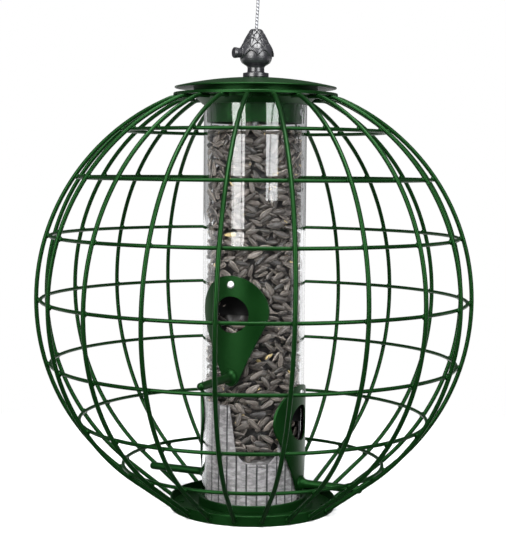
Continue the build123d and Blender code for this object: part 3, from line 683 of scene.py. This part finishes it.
def makeCable():
    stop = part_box("cable_stop")[0].z
    ferruleLow, ferruleHigh = (corner.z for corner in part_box("cable_ferrule"))
    foot = ferruleHigh + cable["loopLead"]
    middle, pitch = cable["strandPitch"] / 2, cable["strandPitch"]
    aside = outward(view["azimuth"] + 90) * cable["lean"]
    heights = (cable["leanStart"] + cable["leanRise"], cable["leanMiddle"],
               ferruleLow - cable["leanEnd"])
    points = [(0, 0, stop), (0, 0, cable["leanStart"])]
    points += [(share * aside.x, share * aside.y, height)
               for share, height in zip(cable["leanShares"], heights)]
    points += [(0, 0, ferruleLow + cable["ferruleLead"]), (0, 0, foot)]
    points += [(middle + out * cable["loopHalfWidth"], 0, foot + up * cable["loopHeight"])
               for out, up in cable["loopShape"]]
    points += [(pitch, 0, foot), (pitch, 0, ferruleLow)]
    curve = bpy.data.curves.new("hanging_cable_rope", "CURVE")
    curve.dimensions = "3D"
    spline = curve.splines.new("NURBS")
    spline.points.add(len(points) - 1)
    for target, point in zip(spline.points, points):
        target.co = (*point, 1)
    spline.order_u = 3
    spline.use_endpoint_u = True
    spline.resolution_u = 12
    curve.bevel_depth = cable["size"] / 2
    curve.bevel_resolution = 4
    curve.use_fill_caps = True
    curve.materials.append(ropeSteel)
    rope = link("hanging_cable_rope", curve)
    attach(rope, "root")
    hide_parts("hanging_cable")


makeCable()
print("cable made")

welds = {
    "cross": (0.0021, 0.0021 * 0.95, 0.0012),  # size of a bead where an upright meets a hoop
    "unevenness": 0.18,
    "latitudes": [k * 17.3 for k in range(-3, 4)],
    "pan": (0.0024, 0.0022, 0.0009),
    "panHeight": 0.0032,
    "panRadius": 0.0584,
    "panStand": 0.0004,
    "ring": (0.0024, 0.0021, 0.0011),
    "ringHeight": 0.2876,
    "ringRadius": 0.0555,
}


def lump(bm, centre, along, across, out, sizes, dice):
    turn = Matrix((along, across, out)).transposed().to_4x4()
    made = bmesh.ops.create_icosphere(bm, subdivisions=2, radius=1.0)
    stretch = Matrix.Diagonal((*sizes, 1))
    for vert in made["verts"]:
        swell = 1 + welds["unevenness"] * (dice.random() - 0.5)
        vert.co = Matrix.Translation(centre) @ turn @ stretch @ (vert.co * swell)


def makeWelds():
    # beads where the uprights meet the hoops, the pan and the top ring
    dice = Random(4)
    bm = bmesh.new()
    middle, upwards = feeder["globeCentre"], Vector((0, 0, 1))
    reach = feeder["uprightReach"] - feeder["uprightWire"] / 2
    twist = radians(feeder["uprightTwist"])
    for number in range(feeder["uprightCount"]):
        azimuth = feeder["uprightTurn"] + number * 360 / feeder["uprightCount"]
        side = outward(azimuth + 90)
        rise = Vector((0, 0, cos(twist))) + side * sin(twist)
        for latitude in welds["latitudes"]:
            tilt = asin(sin(radians(latitude)) / cos(twist))
            out = (outward(azimuth) * cos(tilt) + rise * sin(tilt)).normalized()
            up = out.cross(side).normalized()
            centre = out * reach + Vector((0, 0, middle))
            lump(bm, centre, up, side, out, welds["cross"], dice)
        foot = onRound(azimuth, welds["panRadius"] + welds["panStand"], welds["panHeight"])
        foot += side * tan(twist) * (welds["panHeight"] - middle)
        lump(bm, foot, upwards, side, outward(azimuth), welds["pan"], dice)
        top = onRound(azimuth, welds["ringRadius"], welds["ringHeight"])
        top += side * tan(twist) * (welds["ringHeight"] - middle)
        lump(bm, top, outward(azimuth), side, upwards, welds["ring"], dice)
    mesh = bpy.data.meshes.new("cage_weld_beads")
    bm.to_mesh(mesh)
    bm.free()
    placePiece("cage_weld_beads", mesh, greenCoat, "root")


makeWelds()
print("welds made")

hull = {
    "length": 0.0112,
    "width": 0.0052,
    "thick": 0.0034,
    "rings": 9,
    "sides": 18,
    "point": 0.72,  # powers that shape the pointed and the blunt end
    "blunt": 0.42,
    "fullness": 1.62,
    "edgeStripe": 0.93,  # a stripe where the cosine of the turn round the hull is above this
    "middleStripe": 0.2,  # and a faint one where it is below this
    "faintStripe": 0.2,
    "widths": (0.88, 1.1),
    "tone": (0.45, 0.28),  # how pale a hull is: mean and spread
    "stripes": (0.4, 1.0),  # how strong its stripes are
    "discs": [(-0.34, 0.30), (-0.12, 0.43), (0.12, 0.45), (0.33, 0.33)],  # place along it, size
}

# The seed's bed: the tube's wall, the liner with its cut-away sides, and the hoods
bed = {
    "wall": 0.0337,  # as far out as a hull may reach
    "linerWall": 0.0318,
    "linerTop": 0.0765,
    "mouthHalf": 0.0195,  # half width of the liner's cut-away at its top
    "narrowing": 0.006,  # by which it narrows down to its waist
    "waistDrop": 0.033,
    "waistHalf": 0.0135,
    "waistSlope": 0.83,
    "mouthMargin": 0.002,
    "ridge": 0.0455,
    "slope": 15.0,
    "valleyAzimuth": 30.0,
    "ridgeGap": 0.0025,
    "hoodReach": 0.0162,
    "hoodDrop": 0.0065,
    "hoodSlope": 0.30,
}

heap = {
    "low": 0.036,
    "top": 0.267,
    "topGap": 0.001,
    # per layer: how far its hulls lie inside the wall, tries, spread of tilt in degrees
    "layers": [(0.0021, 9000, 13), (0.0052, 7000, 28), (0.0088, 5000, 40)],
    "depth": 0.0008,
    "closeness": 0.72,  # share of their size at which two hulls touch
    "cell": 0.007,
    "sizes": (0.85, 1.12),
    "lateTries": 0.6,  # share of the tries after which the hulls are smaller
    "lateSize": 0.8,
    "slant": 38,
    "crossTilt": 1.3,
    "kernelShare": 0.01,
    "kernelSize": 0.75,
    "crumbs": 110,
    "crumbInset": 0.0006,
    "crumbTopGap": 0.002,
    "crumbSizes": (0.1, 0.26),
    "crumbTilt": 30,
    "topHulls": 150,  # hulls that lie on the level top
    "topReach": 0.0295,
    "topWall": 0.0315,
    "topDepths": (0.0005, 0.003),
    "topSizes": (0.85, 1.1),
    "topTilt": 12,
}


def hullShape():
    # one hull along X: pointed at -X, blunt at +X, flatter than wide; with its stripe pattern
    verts, stripes = [], []
    rings, sides = hull["rings"], hull["sides"]
    for ring in range(rings + 1):
        share = ring / rings
        swell = (share ** hull["point"]) * ((1 - share) ** hull["blunt"]) * hull["fullness"]
        for side in range(sides):
            turn = 2 * pi * side / sides
            verts.append((share - 0.5, 0.5 * swell * cos(turn), 0.5 * swell * sin(turn)))
            edge = abs(cos(turn))
            faint = hull["faintStripe"] if edge < hull["middleStripe"] else 0.0
            stripes.append(1.0 if edge > hull["edgeStripe"] else faint)
    return verts, ringFaces(rings + 1, sides), stripes


def seedRoom(azimuth, height):
    # how far from the axis the seed reaches at this place, or 0 where there is none
    turn = radians(azimuth - bed["valleyAzimuth"])
    reach = bed["wall"]
    if height < bed["linerTop"]:
        drop = bed["linerTop"] - height
        if drop < bed["waistDrop"]:
            half = bed["mouthHalf"] - drop * bed["narrowing"] / bed["waistDrop"]
        else:
            half = bed["waistHalf"] - (drop - bed["waistDrop"]) * bed["waistSlope"]
        if abs(sin(turn)) * bed["wall"] > half - bed["mouthMargin"]:
            reach = bed["linerWall"]
    floor = bed["ridge"] - abs(cos(turn)) * reach * tan(radians(bed["slope"]))
    if height < floor + bed["ridgeGap"] or height > heap["top"]:
        return 0
    return reach


def inHood(place):
    for azimuth, height in feeder["ports"]:
        gap = place - onRound(azimuth, bed["wall"], height)
        low = height - bed["hoodDrop"] + bed["hoodSlope"] * gap.dot(outward(azimuth))
        if gap.length < bed["hoodReach"] and place.z > low:
            return True
    return False


def isFree(discs, grid, around, across):
    for x, y, radius in discs:
        column, row = int(x / heap["cell"]), int(y / heap["cell"])
        for stepX in (-1, 0, 1):
            for stepY in (-1, 0, 1):
                near = grid.get(((column + stepX) % across, row + stepY), ())
                for otherX, otherY, otherRadius in near:
                    gap = abs(x - otherX) % around
                    gap = min(gap, around - gap)
                    touch = heap["closeness"] * (radius + otherRadius)
                    if gap**2 + (y - otherY) ** 2 < touch**2:
                        return False
    return True


def scatterLayer(inset, tries, dice):
    # hulls on the unrolled wall that touch but hardly overlap
    around = 2 * pi * (bed["wall"] - inset)
    cell = heap["cell"]
    across = int(around / cell)
    grid, chosen = {}, []
    for attempt in range(tries):
        left = dice.uniform(0, around)
        level = dice.uniform(heap["low"], heap["top"] - heap["topGap"])
        early = attempt < heap["lateTries"] * tries
        size = dice.uniform(*heap["sizes"]) * (1 if early else heap["lateSize"])
        slant = radians(dice.gauss(0, heap["slant"])) + (pi if dice.random() < 0.5 else 0)
        discs = [(left + cos(slant) * place * size * hull["length"],
                  level + sin(slant) * place * size * hull["length"],
                  radius * size * hull["width"]) for place, radius in hull["discs"]]
        if not isFree(discs, grid, around, across):
            continue
        for disc in discs:
            key = (int(disc[0] / cell) % across, int(disc[1] / cell))
            grid.setdefault(key, []).append(disc)
        chosen.append((360 * left / around, level, slant, size))
    return chosen


def makeSeeds():
    dice = Random(11)
    shape, shapeFaces, stripes = hullShape()
    verts, faces, tones, marks, kernels = [], [], [], [], []

    def drop(place, reachLimit, out, slant, size, tilt, kernel=0.0):
        side = Vector((0, 0, 1)).cross(out) if abs(out.z) < 0.9 else Vector((1, 0, 0))
        along = side * cos(slant) + out.cross(side) * sin(slant)
        basis = Matrix((along, out.cross(along), out)).transposed()
        tip = (Matrix.Rotation(radians(dice.gauss(0, tilt)), 3, basis.col[1])
               @ Matrix.Rotation(radians(dice.gauss(0, heap["crossTilt"] * tilt)), 3, along))
        basis = tip @ basis
        sizes = (hull["length"] * size, hull["width"] * size * dice.uniform(*hull["widths"]),
                 hull["thick"] * size)
        tone = min(1.0, max(0.0, dice.gauss(*hull["tone"])))
        first = len(verts)
        for x, y, z in shape:
            point = place + basis @ Vector((x * sizes[0], y * sizes[1], z * sizes[2]))
            away = hypot(point.x, point.y)
            if away > reachLimit:
                point.x *= reachLimit / away
                point.y *= reachLimit / away
            verts.append(point)
        tones.extend([tone] * len(shape))
        kernels.extend([kernel] * len(shape))
        strength = dice.uniform(*hull["stripes"])
        marks.extend([strength * s for s in stripes])
        faces.extend(tuple(first + i for i in face) for face in shapeFaces)

    for inset, tries, tilt in heap["layers"]:
        for azimuth, level, slant, size in scatterLayer(inset, tries, dice):
            reach = seedRoom(azimuth, level)
            if not reach:
                continue
            place = onRound(azimuth, reach - inset - dice.uniform(0, heap["depth"]), level)
            if inHood(place):
                continue
            bare = dice.random() < heap["kernelShare"]
            drop(place, reach, outward(azimuth), slant,
                 heap["kernelSize"] * size if bare else size, tilt, 1.0 if bare else 0.0)
    for number in range(heap["crumbs"]):
        azimuth = dice.uniform(0, 360)
        level = dice.uniform(heap["low"], heap["top"] - heap["crumbTopGap"])
        reach = seedRoom(azimuth, level)
        place = onRound(azimuth, reach - heap["crumbInset"], level)
        if reach and not inHood(place):
            drop(place, reach, outward(azimuth), dice.uniform(0, pi),
                 dice.uniform(*heap["crumbSizes"]), heap["crumbTilt"], 1.0)
    for number in range(heap["topHulls"]):
        azimuth = dice.uniform(0, 360)
        place = onRound(azimuth, heap["topReach"] * sqrt(dice.random()),
                        heap["top"] - dice.uniform(*heap["topDepths"]))
        drop(place, heap["topWall"], Vector((0, 0, 1)), dice.uniform(0, 2 * pi),
             dice.uniform(*heap["topSizes"]), heap["topTilt"])
    piece = addPiece("loose_seeds", verts, faces, seedHull, "root")
    markPoints(piece, "hullTone", tones)
    markPoints(piece, "hullStripe", marks)
    markPoints(piece, "kernel", kernels)
    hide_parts("seed_fill")
    print("seeds:", len(faces) // len(shapeFaces))


core = {
    "around": 40,
    "levels": 70,
    "bottom": 0.042,
    "topGap": 0.003,
    "reach": 0.0250,
    "unevenness": 0.0010,
    "hoodGap": 0.001,
}


def makeSeedCore():
    # the imported middle of the heap, in the darkest hull colour: painted shadow seen only in the
    # gaps between hulls
    dice = Random(5)
    around, levels, uneven = core["around"], core["levels"], core["unevenness"]
    clear = bed["hoodReach"] + core["hoodGap"]
    bottom, top = core["bottom"], heap["top"] - core["topGap"]
    verts = []
    for level in range(levels + 1):
        height = bottom + (top - bottom) * level / levels
        for step in range(around):
            azimuth = 360 * step / around
            place = onRound(azimuth, core["reach"] + dice.uniform(-uneven, uneven), height)
            for portAzimuth, portHeight in feeder["ports"]:
                gap = (place - onRound(portAzimuth, bed["wall"], portHeight)).length
                if gap < clear:
                    place -= outward(azimuth) * (clear - gap)
            verts.append(place)
    faces = ringFaces(levels + 1, around)
    faces.append(tuple(range(around - 1, -1, -1)))
    faces.append(tuple(levels * around + step for step in range(around)))
    piece = addPiece("seed_heap_core", verts, faces, seedHull, "root")
    # tone, stripe and kernel marks of 0 give the darkest hull colour, a painted shadow
    for label in ("hullTone", "hullStripe", "kernel"):
        markPoints(piece, label, [0.0] * len(verts))


makeSeeds()
makeSeedCore()
print("seed heap made")

cone = {
    "foot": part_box("lid")[1].z + 0.0003,
    "footEdge": 0.0001,  # height up to which the foot is cut to the lid's dome
    "around": 256,
    "steps": 210,
    "bore": 0.0022,
    "height": 0.0327,
    "dome": 0.2403,  # radius of the hollow under its foot
    # height above its foot, and half width there
    "outline": [
        (0.0, 0.0089), (0.0027, 0.0089), (0.0031, 0.0064), (0.0036, 0.0059), (0.0062, 0.0058),
        (0.0070, 0.0061), (0.0078, 0.0070), (0.0086, 0.0084), (0.0096, 0.0098),
        (0.0110, 0.0106), (0.0124, 0.0110), (0.0140, 0.0112), (0.0160, 0.0111),
        (0.0190, 0.0104), (0.0205, 0.0098), (0.0233, 0.0080), (0.0260, 0.0067),
        (0.0287, 0.0054), (0.0308, 0.0040), (0.0322, 0.0032), (0.0327, 0.0025),
    ],
    "tips": [0.0138, 0.0194, 0.0233, 0.0277, 0.0304],  # lower points of the scales, row by row
    "arches": [0.0038, 0.0034, 0.0030, 0.0022, 0.0014],  # how far the edge climbs between points
    "columns": 8,
    "turn": 31.0,  # azimuth of a point in the lowest row
    "lip": 0.0010,  # how far a scale's edge stands off the row below it
    "lipLoss": 0.09,  # share of the lip that each higher row loses
    "pillow": 0.0006,
    "pillowGain": 1.6,
    "edge": 0.00035,  # height over which the edge comes up
    "rim": 0.00022,  # raised rim along the edge
    "rimWidth": 0.0005,
    "grooveShade": 0.0009,  # height of the band of painted shade under an edge
}


def outlineAt(height):
    marks = cone["outline"]
    for (low, first), (high, second) in zip(marks, marks[1:]):
        if height <= high:
            return first + (second - first) * (height - low) / (high - low)
    return marks[-1][1]


def scaleRelief(azimuth, height):
    # scales overlap downwards: the highest row whose edge is below this place covers it
    relief, shade = 0.0, 0.0
    for row, (tip, arch) in enumerate(zip(cone["tips"], cone["arches"])):
        share = (azimuth - cone["turn"]) * cone["columns"] / 360 - row / 2
        across = 2 * abs(share - round(share))
        above = height - tip - arch * sin(across * pi / 2)
        if above <= 0:
            # painted shade in the groove right under the edge of the scale above
            shade = max(0.0, 1 + above / cone["grooveShade"])
            break
        room = (cone["tips"] + [cone["height"]])[row + 1] - tip + arch
        slope = max(0.0, 1 - above / room)
        rise = min(1.0, above / cone["edge"])
        rim = cone["rim"] * exp(-((above - cone["edge"]) / cone["rimWidth"]) ** 2)
        swell = (cone["pillow"] * (1 - across**2) * (1 - slope**4) * slope**0.5
                 * cone["pillowGain"])
        relief = rise * (cone["lip"] * slope * (1 - cone["lipLoss"] * row) + rim + swell)
    return relief, shade


def makeFinial():
    around, steps, dome = cone["around"], cone["steps"], cone["dome"]
    verts, shades = [], []
    levels = [cone["height"] * step / steps for step in range(steps + 1)]
    for height in [None] + levels + [None]:  # None is the bore, at the foot and at the tip
        for step in range(around):
            azimuth = 360 * step / around
            if height is None:
                reach, shade = cone["bore"], 0.0
                level = cone["height"] if len(verts) > around else 0.0
            else:
                relief, shade = scaleRelief(azimuth, height)
                reach, level = outlineAt(height) + relief, height
            shades.append(shade)
            verts.append(onRound(azimuth, reach, cone["foot"] + level))
    for vert in verts:
        if vert.z < cone["foot"] + cone["footEdge"]:
            vert.z += sqrt(dome**2 - vert.x**2 - vert.y**2) - dome
    faces = ringFaces(len(levels) + 2, around, closed=True)
    piece = addPiece("finial_cone", verts, faces, scaledGrey, "finial")
    # the painted shade under the scale edges goes to the material as a point mark
    markPoints(piece, "grooveShade", shades)
    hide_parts("finial")


boss = {
    "azimuth": -40,
    "height": 0.0161,  # above the finial's foot
    "radius": 0.0040,
    "hole": 0.00205,
    "start": 0.0085,
    "end": 0.0119,
    "round": 0.0005,
    "sides": 40,
}


def makeBoss():
    axis, side = outward(boss["azimuth"]), outward(boss["azimuth"] + 90)
    centre = Vector((0, 0, cone["foot"] + boss["height"]))
    start, end, radius, sides = boss["start"], boss["end"], boss["radius"], boss["sides"]
    profile = ((start, radius), (end - boss["round"], radius), (end, radius - boss["round"]),
               (end, boss["hole"]), (start, boss["hole"]))
    verts = []
    for reach, half in profile:
        for step in range(sides):
            turn = 2 * pi * step / sides
            verts.append(centre + axis * reach + side * half * cos(turn)
                         + Vector((0, 0, 1)) * half * sin(turn))
    faces = ringFaces(len(profile), sides, closed=True)
    addPiece("finial_boss", verts, faces, castGrey, "finial")


makeFinial()
makeBoss()
print("finial made")
